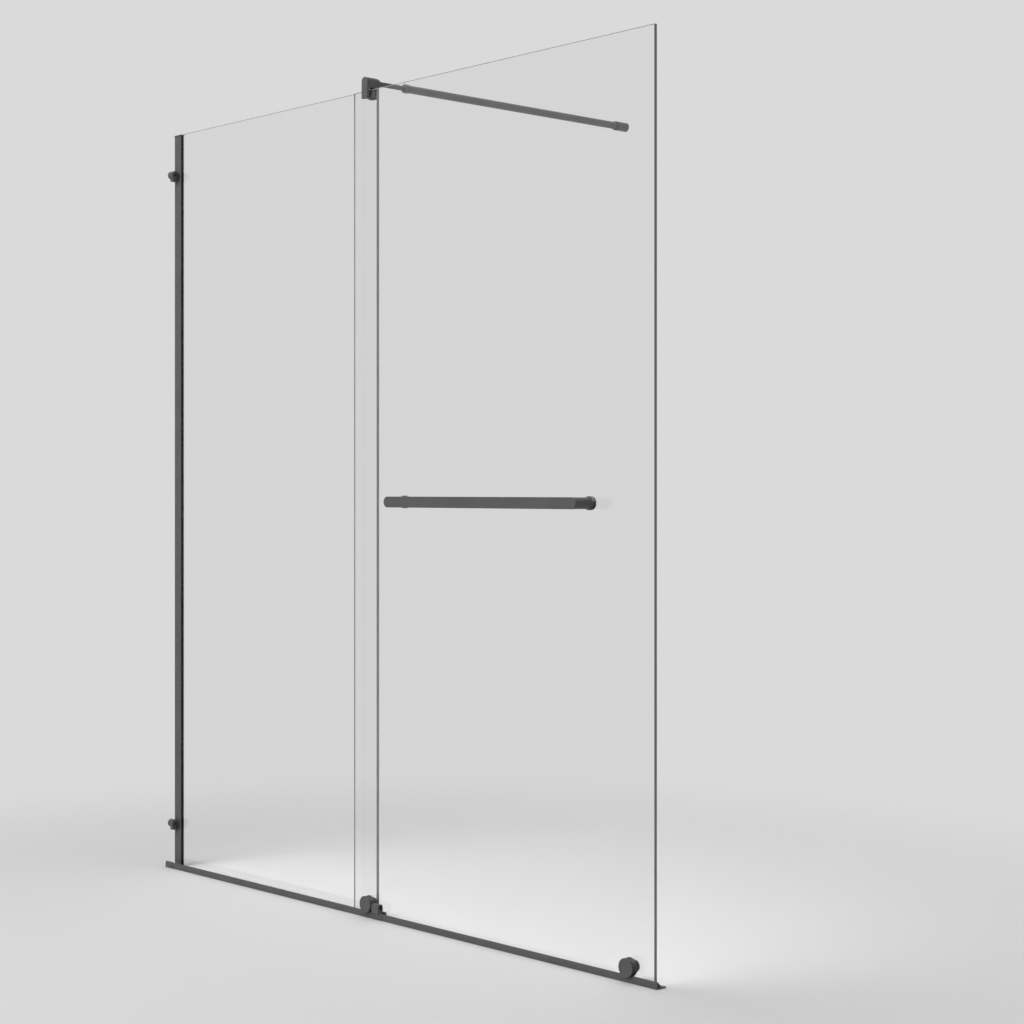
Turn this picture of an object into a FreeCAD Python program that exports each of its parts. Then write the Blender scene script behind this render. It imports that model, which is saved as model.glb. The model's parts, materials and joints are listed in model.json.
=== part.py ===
"""A sliding shower screen.

A fixed glass panel stands in a slim wall profile. In front of it a glass door
hangs on two grooved rollers that run on a low rail on the floor. A bracket at
the top of the fixed panel guides the door and carries a telescopic bar that
reaches the back wall.

X runs along the screen from the side wall, Y runs into the shower, Z is up.
The origin is on the wall and the floor, in the middle of the fixed glass.
All sizes are in millimetres.
"""

import FreeCAD
import Part

import os

from FreeCAD import Vector

# Glass panels
glass_thickness = 8.0
glass_arris = 0.6
panel_top = 2000.0
door_below_panel_top = 4.6
panel_gap = 11.0
fixed_glass_right = 882.0
fixed_glass_bottom = 4.0
door_width = 1003.5
door_bottom = 8.0
door_overlap = 70.0

# Wall profile, which the fixed glass stands in
profile_depth = 30.0
profile_width = 14.0
profile_wall = 1.2
profile_web = 1.6
profile_below_panel_top = 3.0
profile_glass_gap = 3.4
profile_hole_radius = 2.25
profile_hole_count = 4
profile_first_hole = 100.0
profile_last_hole_drop = 97.0
profile_cap_thickness = 2.0
profile_cap_overhang = 1.2
profile_cap_slot_clearance = 0.3
profile_cap_plug_depth = 8.0
wedge_seal_depth = 20.0
wedge_seal_bead = 0.8

# Clear seal under the fixed glass
sill_seal_width = 10.4
sill_seal_height = 5.0
sill_seal_wall = 1.0
sill_seal_end_clearance = 0.3

# Floor track: a flat flange with a raised rail along its front
track_past_door = 18.8
track_thickness = 3.0
track_front_reach = 13.0
track_profile_clearance = 0.3
rail_offset = 10.5
rail_height = 15.6
rail_shoulder = 10.2
rail_tip_half_width = 1.3
rail_tip_drop = 0.9
rail_back_reach = 10.8
rail_back_bulge_across_share = 0.61
rail_back_bulge_down_share = 0.50
rail_cavity_wall = 1.6
rail_cavity_floor = 2.6
rail_cavity_shoulder = 8.9
rail_cavity_top = 13.0
rail_cavity_tip_half_width = 0.55
rail_cavity_back_shoulder = 3.4
rail_cavity_back_shoulder_height = 10.8
rail_cavity_back_knee = 6.4
rail_cavity_back_knee_height = 6.6
rail_cavity_back_foot = 8.4
wall_cap_length = 32.0
wall_cap_wall = 0.8
wall_cap_end = 2.0
wall_cap_corner = 6.0
fitting_clearance = 0.15
end_plug_recess = 0.8
end_plug_depth = 10.0

# Rollers on the door
roller_inset = 65.9
roller_running_gap = 0.2
wheel_running_radius = 15.5
wheel_flange_radius = 20.4
wheel_front_reach = 6.4
wheel_rear_reach = 8.0
wheel_edge_chamfer = 0.5
groove_floor_half_width = 1.6
groove_mouth_half_width = 5.8
wheel_lip_radius = 7.0
bearing_radius = 8.0
bearing_width = 5.0
bearing_bore_radius = 4.0
bearing_inner_radius = 5.2
bearing_running_clearance = 0.05
axle_shoulder_radius = 6.5
axle_gasket_clearance = 0.2
axle_thread_depth = 4.4
roller_glass_hole_radius = 7.0
roller_cap_radius = 20.3
roller_cap_thickness = 1.8
roller_cap_gap = 0.4
roller_cap_edge = 0.6
roller_rear_cap_radius = 12.5
roller_rear_cap_thickness = 7.3
roller_rear_washer_radius = 14.5
roller_rear_washer_thickness = 2.2
roller_gasket_radius = 16.0
roller_rear_gasket_radius = 14.0
roller_gasket_thickness = 1.4
gasket_thickness = 0.8

# Door handle: a flat-faced rail on two round posts
handle_height = 1001.0
handle_pitch = 620.0
handle_bar_height = 25.5
handle_bar_thickness = 12.0
handle_bar_reach = 53.0
handle_bar_edge = 0.9
handle_post_radius = 12.5
handle_spigot_radius = 5.0
handle_spigot_length = 6.0
handle_rosette_radius = 15.0
handle_rosette_thickness = 9.2
handle_rosette_edge = 0.8
handle_gasket_radius = 14.0
handle_inner_cap_radius = 15.0
handle_inner_cap_thickness = 6.0
handle_stud_radius = 4.0
handle_stud_into_post = 15.0
handle_stud_into_cap = 4.5
handle_glass_hole_radius = 6.0

# Guide block: the bumper housing on the rail that stops the rollers
guide_past_roller = 23.1
guide_housing_length = 26.8
guide_saddle_length = 35.0
guide_housing_width = 13.8
guide_housing_height = 20.0
guide_housing_corner = 2.8
guide_housing_above_rail = 1.0
guide_collar_length = 1.2
guide_collar_corner = 6.4
guide_saddle_wall = 1.0
guide_neck_half_width = 5.6
guide_neck_depth = 4.0
guide_foot_length = 22.5
guide_foot_thickness = 6.0
guide_foot_height = 16.0
guide_foot_edge = 1.0
guide_pad_thickness = 0.8
guide_pad_glass_gap = 0.3
guide_pad_bottom_gap = 0.6
guide_screw_radius = 1.5
guide_screw_head_radius = 2.6
guide_screw_head_height = 1.4
guide_screw_inset = 5.0
bumper_radius = 5.6
bumper_depth = 4.0
bumper_reach = 2.0
bumper_rise = 2.8
bumper_edge = 0.8

# Wall stops that the door meets when it is fully open
lower_stop_height = 119.0
upper_stop_from_top = 111.0
stop_radius = 10.5
stop_length = 21.0
stop_edge = 1.0
stop_foot_height = 14.0
stop_foot_inset = 3.0
stop_lug_drop = 17.5
stop_lug_width = 13.0
stop_lug_front_reach = 5.0
stop_buffer_radius = 5.5
stop_buffer_depth = 5.0
stop_buffer_reach = 4.0
stop_screw_radius = 2.0
stop_screw_drop = 14.0
stop_screw_recess = 0.5
stop_travel_clearance = 0.5

# Top bracket, which straddles both panels
bracket_width = 22.0
bracket_middle_from_edge = 15.5
bracket_height = 52.0
bracket_drop = 25.3
bracket_front_reach = 11.0
bracket_front_leg = 6.0
bracket_roof_clearance = 1.0
bracket_middle_leg = 2.6
bracket_rear_leg = 2.6
bracket_pad_thickness = 0.5
bracket_pad_inset = 2.0
bracket_foot_radius = 2.0
bracket_edge = 0.5
bracket_slope_run = 8.0
bracket_slope_drop = 6.0
guide_shoe_glass_gap = 0.5
guide_shoe_height = 18.0
bracket_screw_radius = 2.0
bracket_screw_above_bottom = 10.0
bracket_screw_recess = 0.3

# Telescopic support bar
bar_above_panel = 15.0
rod_radius = 6.0
rod_socket_depth = 14.0
rod_length = 450.0
tube_radius = 9.5
tube_wall = 1.5
tube_start = 96.0
collar_radius = 11.0
collar_length = 12.0
collar_lip = 2.0
collar_edge = 0.8
bush_length = 30.0
slide_clearance = 0.05
collar_screw_radius = 1.5
wall_distance = 876.0
wall_socket_radius = 12.0
wall_socket_length = 41.0
wall_socket_base = 5.0
wall_socket_hole_radius = 2.75
wall_socket_edge = 1.0
socket_screw_radius = 2.0
socket_screw_from_mouth = 8.0
screw_recess = 0.3

overrun = 2.0

# Places worked out from the sizes
fixed_front = -glass_thickness / 2
fixed_back = glass_thickness / 2
door_back = fixed_front - panel_gap
door_front = door_back - glass_thickness
door_top = panel_top - door_below_panel_top
door_middle = (door_back + door_front) / 2
door_left = fixed_glass_right - door_overlap
door_right = door_left + door_width
fixed_glass_left = profile_web + profile_glass_gap
profile_top = panel_top - profile_below_panel_top
profile_hole_pitch = (profile_top - profile_first_hole - profile_last_hole_drop) / (profile_hole_count - 1)
profile_front = -profile_width / 2
profile_back = profile_width / 2
track_back = profile_front - track_profile_clearance - wall_cap_wall - fitting_clearance
track_front = door_front - track_front_reach
track_length = door_right + track_past_door
rail_apex = door_front - rail_offset
roller_axis_height = rail_height + roller_running_gap + wheel_running_radius
wheel_front = rail_apex - wheel_front_reach
wheel_rear = rail_apex + wheel_rear_reach
roller_places = {
    "left": door_left + roller_inset,
    "right": door_right - roller_inset,
}
handle_middle = (door_left + door_right) / 2
handle_posts_at = (handle_middle - handle_pitch / 2, handle_middle + handle_pitch / 2)
handle_face = door_front - handle_bar_reach
handle_bar_back = handle_face + handle_bar_thickness
bracket_middle = fixed_glass_right - bracket_middle_from_edge
bracket_left = bracket_middle - bracket_width / 2
bracket_right = bracket_middle + bracket_width / 2
bracket_bottom = panel_top - bracket_drop
bracket_top = bracket_bottom + bracket_height
bracket_front = door_front - bracket_front_reach
bracket_roof = panel_top + bracket_roof_clearance
bracket_rear = fixed_back + bracket_pad_thickness + bracket_rear_leg
bar_height = panel_top + bar_above_panel
guide_left = roller_places["left"] + guide_past_roller
guide_right = guide_left + guide_housing_length
stop_heights = {
    "lower_stop": lower_stop_height,
    "upper_stop": panel_top - upper_stop_from_top,
}
stop_reach = stop_length + stop_buffer_reach
door_travel = door_left - stop_reach - stop_travel_clearance


def box(x_range, y_range, z_range):
    """A block between two values on each axis."""
    low = Vector(x_range[0], y_range[0], z_range[0])
    high = Vector(x_range[1], y_range[1], z_range[1])
    size = high - low
    return Part.makeBox(size.x, size.y, size.z, low)


def cylinder_x(radius, start, end, y, z):
    """A round bar along X."""
    return Part.makeCylinder(radius, end - start, Vector(start, y, z), Vector(1, 0, 0))


def cylinder_y(radius, start, end, x, z):
    """A round bar along Y."""
    return Part.makeCylinder(radius, end - start, Vector(x, start, z), Vector(0, 1, 0))


def cylinder_z(radius, start, end, x, y):
    """A round bar along Z."""
    return Part.makeCylinder(radius, end - start, Vector(x, y, start), Vector(0, 0, 1))


def face_of(edges):
    """A flat face inside a loop of edges."""
    return Part.Face(Part.Wire(edges))


def line(start, end):
    """A straight edge."""
    return Part.LineSegment(start, end).toShape()


def arc(start, middle, end):
    """A round edge through three points."""
    return Part.Arc(start, middle, end).toShape()


def polygon_face(points):
    """A flat face with straight sides."""
    return Part.Face(Part.makePolygon(list(points) + [points[0]]))


def side_face(points):
    """A flat face across X, from pairs of Y and Z."""
    return polygon_face([Vector(0, y, z) for y, z in points])


def along_x(face, start, end):
    """A section across X drawn out between two X values."""
    solid = face.extrude(Vector(end - start, 0, 0))
    solid.translate(Vector(start, 0, 0))
    return solid


def turned(points, x, z):
    """A body of revolution about the Y axis through x and z, from pairs of radius and Y."""
    outline = polygon_face([Vector(x + radius, y, z) for radius, y in points])
    return outline.revolve(Vector(x, 0, z), Vector(0, 1, 0), 360)


def edge_ring(solid, axis, place, radius):
    """The circular edges of a given radius that lie in a plane across an axis."""
    found = []
    for edge in solid.Edges:
        curve = edge.Curve
        if not isinstance(curve, Part.Circle):
            continue
        offset = curve.Center.dot(axis) - place
        if abs(offset) < fitting_clearance and abs(curve.Radius - radius) < fitting_clearance:
            found.append(edge)
    return found


def one_solid(shape):
    """The shape with the seams between its flush faces removed."""
    return shape.removeSplitter()


def group(shapes):
    """Several separate solids kept in one sub-part."""
    return Part.makeCompound([solid for shape in shapes for solid in shape.Solids])


def glass_panel(x_range, y_range, z_range):
    """A pane with ground edges."""
    pane = box(x_range, y_range, z_range)
    return pane.makeChamfer(glass_arris, pane.Edges)


def track_outline():
    """The track's section: the rail's steep front, rounded tip and bulging back, then the flange."""
    tip_front = Vector(0, rail_apex - rail_tip_half_width, rail_height - rail_tip_drop)
    tip = Vector(0, rail_apex, rail_height)
    tip_back = Vector(0, rail_apex + rail_tip_half_width, rail_height - rail_tip_drop)
    back_foot = Vector(0, rail_apex + rail_back_reach, track_thickness)
    bulge = Vector(
        0,
        tip_back.y + (back_foot.y - tip_back.y) * rail_back_bulge_across_share,
        tip_back.z + (back_foot.z - tip_back.z) * rail_back_bulge_down_share,
    )
    front_foot = Vector(0, track_front, 0)
    front_shoulder = Vector(0, track_front, rail_shoulder)
    flange_top = Vector(0, track_back, track_thickness)
    flange_foot = Vector(0, track_back, 0)
    return face_of([
        line(front_foot, front_shoulder),
        line(front_shoulder, tip_front),
        arc(tip_front, tip, tip_back),
        arc(tip_back, bulge, back_foot),
        line(back_foot, flange_top),
        line(flange_top, flange_foot),
        line(flange_foot, front_foot),
    ])


def rail_cavity():
    """The hollow inside the rail."""
    front = track_front + rail_cavity_wall
    return side_face([
        (front, rail_cavity_floor),
        (front, rail_cavity_shoulder),
        (rail_apex - rail_cavity_tip_half_width, rail_cavity_top),
        (rail_apex + rail_cavity_tip_half_width, rail_cavity_top),
        (rail_apex + rail_cavity_back_shoulder, rail_cavity_back_shoulder_height),
        (rail_apex + rail_cavity_back_knee, rail_cavity_back_knee_height),
        (rail_apex + rail_cavity_back_foot, rail_cavity_floor),
    ])


def track_sleeve(start, end, clearance, wall):
    """A shell that fits over the track, cut level with the floor."""
    outside = along_x(track_outline().makeOffset2D(clearance + wall), start, end)
    inside = along_x(track_outline().makeOffset2D(clearance), start - overrun, end + overrun)
    under = box(
        (start - overrun, end + overrun),
        (track_front - wall - overrun, track_back + wall + overrun),
        (-wall - overrun, 0),
    )
    return outside.cut(inside).cut(under)


def wall_profile():
    """The slim channel on the wall, with screw holes through its web."""
    profile = box((0, profile_depth), (profile_front, profile_back), (0, profile_top))
    channel = box(
        (profile_web, profile_depth + overrun),
        (profile_front + profile_wall, profile_back - profile_wall),
        (-overrun, profile_top + overrun),
    )
    profile = profile.cut(channel)
    for number in range(profile_hole_count):
        height = profile_first_hole + number * profile_hole_pitch
        profile = profile.cut(cylinder_x(profile_hole_radius, -overrun, profile_web + overrun, 0, height))
    return profile


def wall_profile_cap():
    """The plate on top of the channel, forked around the glass, with a plug behind the glass."""
    slot_side = glass_thickness / 2 + profile_cap_slot_clearance
    slot_start = fixed_glass_left - profile_cap_slot_clearance
    cap = box(
        (0, profile_depth + profile_cap_overhang),
        (profile_front - profile_cap_overhang, profile_back + profile_cap_overhang),
        (profile_top, profile_top + profile_cap_thickness),
    )
    uprights = [
        edge for edge in cap.Edges
        if abs(edge.Vertexes[0].Z - edge.Vertexes[1].Z) > fitting_clearance
    ]
    outer_corners = [edge for edge in uprights if edge.Vertexes[0].X > profile_depth]
    cap = cap.makeFillet(profile_cap_overhang, outer_corners)
    slot = box(
        (slot_start, profile_depth + profile_cap_overhang + overrun),
        (-slot_side, slot_side),
        (profile_top - overrun, profile_top + profile_cap_thickness + overrun),
    )
    plug = box(
        (profile_web, slot_start),
        (-slot_side, slot_side),
        (profile_top - profile_cap_plug_depth, profile_top + profile_cap_thickness),
    )
    return one_solid(cap.cut(slot).fuse(plug))


def glass_wedge_seals():
    """The two rubber strips that wedge the glass in the channel, each with a bead at the mouth."""
    start = profile_depth - wedge_seal_depth
    strips = []
    for side in (-1, 1):
        glass_face = side * glass_thickness / 2
        wall_face = side * (profile_width / 2 - profile_wall)
        lip_face = side * profile_width / 2
        outline = polygon_face([
            Vector(start, glass_face, 0),
            Vector(profile_depth + wedge_seal_bead, glass_face, 0),
            Vector(profile_depth + wedge_seal_bead, wall_face, 0),
            Vector(profile_depth, lip_face, 0),
            Vector(profile_depth, wall_face, 0),
            Vector(start, wall_face, 0),
        ])
        strips.append(outline.extrude(Vector(0, 0, profile_top)))
    return group(strips)


def fixed_glass():
    """The pane that stands in the wall profile."""
    return glass_panel(
        (fixed_glass_left, fixed_glass_right),
        (fixed_front, fixed_back),
        (fixed_glass_bottom, panel_top),
    )


def fixed_glass_sill_seal():
    """The clear strip under the fixed glass, with a hollow that settles on the floor."""
    half = sill_seal_width / 2
    start = profile_depth + wedge_seal_bead + sill_seal_end_clearance
    strip = box((start, fixed_glass_right), (-half, half), (0, sill_seal_height))
    ends = (start - overrun, fixed_glass_right + overrun)
    slot = box(
        ends,
        (fixed_front, fixed_back),
        (fixed_glass_bottom, sill_seal_height + overrun),
    )
    hollow = box(
        ends,
        (-half + sill_seal_wall, half - sill_seal_wall),
        (sill_seal_wall, fixed_glass_bottom - sill_seal_wall),
    )
    return strip.cut(slot).cut(hollow)


def floor_track():
    """The aluminium track, hollow under its rail."""
    start = wall_cap_end
    solid = along_x(track_outline(), start, track_length)
    solid = solid.cut(along_x(rail_cavity(), start - overrun, track_length + overrun))
    for x in guide_screw_places():
        solid = solid.cut(guide_screw(x))
    return solid


def track_wall_cap():
    """The sleeve that closes the track at the wall, with its upper front corner rounded off."""
    sleeve = track_sleeve(0, wall_cap_length, fitting_clearance, wall_cap_wall)
    plate = along_x(track_outline().makeOffset2D(fitting_clearance + wall_cap_wall), 0, wall_cap_end)
    top = rail_height + fitting_clearance + wall_cap_wall
    under = box(
        (-overrun, wall_cap_length + overrun),
        (track_front - overrun, track_back + overrun),
        (-overrun - wall_cap_wall, 0),
    )
    cap = one_solid(sleeve.fuse(plate.cut(under)))
    middle = Vector(wall_cap_length - wall_cap_corner, 0, top - wall_cap_corner)
    corner = box(
        (middle.x, wall_cap_length + overrun),
        (track_front - overrun, rail_apex + rail_back_reach),
        (middle.z, top + overrun),
    )
    round_off = Part.makeCylinder(
        wall_cap_corner,
        rail_apex + rail_back_reach - track_front + overrun + overrun,
        Vector(middle.x, track_front - overrun - overrun, middle.z),
        Vector(0, 1, 0),
    )
    return cap.cut(corner.cut(round_off))


def track_end_plug():
    """The plug in the rail's hollow at the free end of the track."""
    end = track_length - end_plug_recess
    return along_x(rail_cavity(), end - end_plug_depth, end)


def rounded_bar(x_range, y_range, z_range, corner):
    """A block with the edges along X rounded."""
    block = box(x_range, y_range, z_range)
    long_edges = [
        edge for edge in block.Edges
        if abs(edge.Vertexes[0].X - edge.Vertexes[1].X) > fitting_clearance
    ]
    return block.makeFillet(corner, long_edges)


def guide_block():
    """The casting clamped over the rail: bumper housing, saddle and rear foot."""
    half_width = guide_housing_width / 2
    depths = (rail_apex - half_width, rail_apex + half_width)
    bottom = rail_height + guide_housing_above_rail
    heights = (bottom, bottom + guide_housing_height)
    inner_left = guide_left + guide_collar_length
    inner_right = guide_right - guide_collar_length
    housing = rounded_bar((inner_left, inner_right), depths, heights, guide_housing_corner)
    collars = [
        rounded_bar((guide_left, inner_left), depths, heights, guide_collar_corner),
        rounded_bar((inner_right, guide_right), depths, heights, guide_collar_corner),
    ]
    neck = box(
        (inner_left, inner_right),
        (rail_apex - guide_neck_half_width, rail_apex + guide_neck_half_width),
        (bottom - guide_neck_depth, bottom + guide_neck_depth),
    )
    neck = neck.cut(along_x(
        track_outline().makeOffset2D(fitting_clearance),
        guide_left - overrun,
        guide_right + overrun,
    ))
    saddle = track_sleeve(guide_left, guide_left + guide_saddle_length, fitting_clearance, guide_saddle_wall)
    foot_front = door_back + guide_pad_glass_gap + guide_pad_thickness
    foot = box(
        (guide_left, guide_left + guide_foot_length),
        (foot_front, foot_front + guide_foot_thickness),
        (track_thickness + fitting_clearance, guide_foot_height),
    )
    top_edges = [
        edge for edge in foot.Edges
        if abs(edge.Vertexes[0].Z - guide_foot_height) < fitting_clearance
        and abs(edge.Vertexes[1].Z - guide_foot_height) < fitting_clearance
    ]
    foot = foot.makeChamfer(guide_foot_edge, top_edges)
    block = one_solid(housing.fuse(collars + [neck, saddle, foot]))
    for x, direction in ((guide_left, 1), (guide_right, -1)):
        start, end = sorted((x - direction * overrun, x + direction * bumper_depth))
        block = block.cut(cylinder_x(bumper_radius, start, end, rail_apex, bumper_height()))
    for x in guide_screw_places():
        block = block.cut(guide_screw(x))
    return block


def bumper_height():
    """Height of the rubber bumpers' axis, a little above the middle of the housing."""
    return rail_height + guide_housing_above_rail + guide_housing_height / 2 + bumper_rise


def guide_screw_places():
    """X places of the two screws that hold the rear foot down."""
    return (guide_left + guide_screw_inset, guide_left + guide_foot_length - guide_screw_inset)


def guide_screw(x):
    """A small countersunk screw through the rear foot and the track's flange."""
    foot_front = door_back + guide_pad_glass_gap + guide_pad_thickness
    y = foot_front + guide_foot_thickness / 2
    shank = cylinder_z(guide_screw_radius, 0, guide_foot_height - guide_screw_head_height, x, y)
    head = Part.makeCone(
        guide_screw_radius,
        guide_screw_head_radius,
        guide_screw_head_height,
        Vector(x, y, guide_foot_height - guide_screw_head_height),
        Vector(0, 0, 1),
    )
    return one_solid(shank.fuse(head))


def guide_bumpers():
    """The rubber buttons in both ends of the housing."""
    buttons = []
    for x, direction in ((guide_left, 1), (guide_right, -1)):
        inside = x + direction * bumper_depth
        outside = x - direction * bumper_reach
        start, end = sorted((inside, outside))
        button = cylinder_x(bumper_radius, start, end, rail_apex, bumper_height())
        rim = edge_ring(button, Vector(1, 0, 0), outside, bumper_radius)
        buttons.append(button.makeFillet(bumper_edge, rim))
    return group(buttons)


def guide_glass_pad():
    """The nylon strip on the rear foot that the door slides along."""
    back = door_back + guide_pad_glass_gap + guide_pad_thickness
    return box(
        (guide_left, guide_left + guide_foot_length),
        (door_back + guide_pad_glass_gap, back),
        (track_thickness + guide_saddle_wall + guide_pad_bottom_gap, guide_foot_height - guide_foot_edge),
    )


def guide_block_screws():
    """The two screws in the rear foot."""
    return group([guide_screw(x) for x in guide_screw_places()])


def stop_body(height):
    """A wall stop: a short cup across the door's path, with a foot on the wall profile."""
    cup = cylinder_x(stop_radius, 0, stop_length, door_middle, height)
    cup = cup.makeFillet(stop_edge, edge_ring(cup, Vector(1, 0, 0), stop_length, stop_radius))
    foot = box(
        (stop_foot_inset, stop_length - stop_foot_inset),
        (door_middle, profile_front),
        (height - stop_foot_height / 2, height + stop_foot_height / 2),
    )
    lug_start = (stop_length - stop_lug_width) / 2
    lug = box(
        (lug_start, lug_start + stop_lug_width),
        (door_middle - stop_lug_front_reach, profile_front),
        (height - stop_lug_drop, height),
    )
    body = one_solid(cup.fuse([foot, lug]))
    pocket = cylinder_x(
        stop_buffer_radius,
        stop_length - stop_buffer_depth,
        stop_length + overrun,
        door_middle,
        height,
    )
    screw_way = cylinder_y(
        stop_screw_radius,
        door_middle - stop_lug_front_reach - overrun,
        profile_front + overrun,
        stop_length / 2,
        height - stop_screw_drop,
    )
    return body.cut(pocket).cut(screw_way)


def stop_buffer(height):
    """The rubber plug in a wall stop, with a rounded nose."""
    plug = cylinder_x(
        stop_buffer_radius,
        stop_length - stop_buffer_depth,
        stop_reach,
        door_middle,
        height,
    )
    nose = edge_ring(plug, Vector(1, 0, 0), stop_reach, stop_buffer_radius)
    return plug.makeFillet(stop_edge, nose)


def stop_screws():
    """The screws through both lugs, up to the wall profile."""
    return group([
        cylinder_y(
            stop_screw_radius,
            door_middle - stop_lug_front_reach + stop_screw_recess,
            profile_front,
            stop_length / 2,
            height - stop_screw_drop,
        )
        for height in stop_heights.values()
    ])


def bracket_outline():
    """The bracket seen from the front: straight sides under a half-round top."""
    radius = bracket_width / 2
    spring = bracket_top - radius
    foot = bracket_foot_radius
    diagonal_share = 1 - 0.5 ** 0.5
    inset = foot * diagonal_share
    y = bracket_front
    return face_of([
        line(Vector(bracket_left, y, bracket_bottom + foot), Vector(bracket_left, y, spring)),
        arc(
            Vector(bracket_left, y, spring),
            Vector(bracket_middle, y, bracket_top),
            Vector(bracket_right, y, spring),
        ),
        line(Vector(bracket_right, y, spring), Vector(bracket_right, y, bracket_bottom + foot)),
        arc(
            Vector(bracket_right, y, bracket_bottom + foot),
            Vector(bracket_right - inset, y, bracket_bottom + inset),
            Vector(bracket_right - foot, y, bracket_bottom),
        ),
        line(
            Vector(bracket_right - foot, y, bracket_bottom),
            Vector(bracket_left + foot, y, bracket_bottom),
        ),
        arc(
            Vector(bracket_left + foot, y, bracket_bottom),
            Vector(bracket_left + inset, y, bracket_bottom + inset),
            Vector(bracket_left, y, bracket_bottom + foot),
        ),
    ])


def bar_bracket():
    """The bracket: a front leg, a slot for the door, and two legs that clamp the fixed glass."""
    middle_leg_back = fixed_front - bracket_pad_thickness
    middle_leg_front = middle_leg_back - bracket_middle_leg
    rear_leg_front = fixed_back + bracket_pad_thickness
    body = bracket_outline().extrude(Vector(0, bracket_rear - bracket_front, 0))
    front_edges = [
        edge for edge in body.Edges
        if all(abs(vertex.Y - bracket_front) < fitting_clearance for vertex in edge.Vertexes)
    ]
    body = body.makeChamfer(bracket_edge, front_edges)
    sides = (bracket_left - overrun, bracket_right + overrun)
    below = bracket_bottom - overrun
    door_slot = box(sides, (bracket_front + bracket_front_leg, middle_leg_front), (below, bracket_roof))
    glass_slot = box(sides, (middle_leg_back, rear_leg_front), (below, bracket_roof))
    slope = along_x(
        side_face([
            (bracket_rear + overrun, bracket_top + overrun),
            (bracket_rear - bracket_slope_run, bracket_top + overrun),
            (bracket_rear - bracket_slope_run, bracket_top),
            (bracket_rear, bracket_top - bracket_slope_drop),
            (bracket_rear + overrun, bracket_top - bracket_slope_drop),
        ]),
        sides[0],
        sides[1],
    )
    socket = cylinder_y(
        rod_radius,
        bracket_rear - rod_socket_depth,
        bracket_rear + overrun,
        bracket_middle,
        bar_height,
    )
    body = one_solid(body.cut(door_slot).cut(glass_slot).cut(slope).cut(socket))
    for screw in bracket_screw_shapes(overrun):
        body = body.cut(screw)
    return body


def bracket_screw_shapes(extra=0.0):
    """The glass clamp screw through the rear leg and the rod's set screw from the side."""
    clamp = cylinder_y(
        bracket_screw_radius,
        fixed_back + bracket_pad_thickness,
        bracket_rear - bracket_screw_recess + extra,
        bracket_middle,
        bracket_bottom + bracket_screw_above_bottom,
    )
    rod_screw = cylinder_x(
        bracket_screw_radius,
        bracket_left + bracket_screw_recess - extra,
        bracket_middle - rod_radius,
        bracket_rear - rod_socket_depth / 2,
        bar_height,
    )
    return [clamp, rod_screw]


def bracket_screws():
    """Both screws of the bracket."""
    return group(bracket_screw_shapes())


def bracket_glass_pads():
    """The soft pads between the clamp legs and the fixed glass."""
    sides = (bracket_left + bracket_pad_inset, bracket_right - bracket_pad_inset)
    heights = (bracket_bottom + bracket_pad_inset, panel_top - bracket_pad_inset)
    return group([
        box(sides, (fixed_front - bracket_pad_thickness, fixed_front), heights),
        box(sides, (fixed_back, fixed_back + bracket_pad_thickness), heights),
    ])


def bracket_shoe(front, back):
    """A block between the bracket's lower corners, for the door's top edge to slide on."""
    low = bracket_bottom + bracket_foot_radius
    return box((bracket_left, bracket_right), (front, back), (low, low + guide_shoe_height))


def bracket_front_shoe():
    """The nylon shoe in front of the door."""
    return bracket_shoe(bracket_front + bracket_front_leg, door_front - guide_shoe_glass_gap)


def bracket_rear_shoe():
    """The clear shoe behind the door."""
    middle_leg_front = fixed_front - bracket_pad_thickness - bracket_middle_leg
    return bracket_shoe(door_back + guide_shoe_glass_gap, middle_leg_front)


def support_rod():
    """The thin inner rod of the bar, set in the bracket."""
    start = bracket_rear - rod_socket_depth
    return cylinder_y(rod_radius, start, start + rod_length, bracket_middle, bar_height)


def support_tube():
    """The outer tube of the bar, from the collar into the wall socket."""
    end = wall_distance - wall_socket_base
    outside = cylinder_y(tube_radius, tube_start, end, bracket_middle, bar_height)
    inside = cylinder_y(
        tube_radius - tube_wall,
        tube_start - overrun,
        end + overrun,
        bracket_middle,
        bar_height,
    )
    return outside.cut(inside).cut(collar_screw()).cut(socket_screw())


def tube_collar():
    """The collar over the tube's end, with a lip that closes round the rod."""
    front = tube_start - collar_lip
    back = front + collar_length
    bore = rod_radius + slide_clearance
    ring = turned(
        [
            (bore, front),
            (collar_radius - collar_edge, front),
            (collar_radius, front + collar_edge),
            (collar_radius, back),
            (tube_radius, back),
            (tube_radius, tube_start),
            (bore, tube_start),
        ],
        bracket_middle,
        bar_height,
    )
    return ring.cut(collar_screw(overrun))


def collar_screw(extra=0.0):
    """The small set screw under the collar, just clear of the rod."""
    y = tube_start + (collar_length - collar_lip) / 2
    return cylinder_z(
        collar_screw_radius,
        bar_height - collar_radius + screw_recess - extra,
        bar_height - rod_radius - slide_clearance,
        bracket_middle,
        y,
    )


def tube_bush():
    """The plastic sleeve inside the tube that the rod slides in."""
    ring = turned(
        [
            (rod_radius + slide_clearance, tube_start),
            (tube_radius - tube_wall, tube_start),
            (tube_radius - tube_wall, tube_start + bush_length),
            (rod_radius + slide_clearance, tube_start + bush_length),
        ],
        bracket_middle,
        bar_height,
    )
    return ring.cut(collar_screw())


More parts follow.
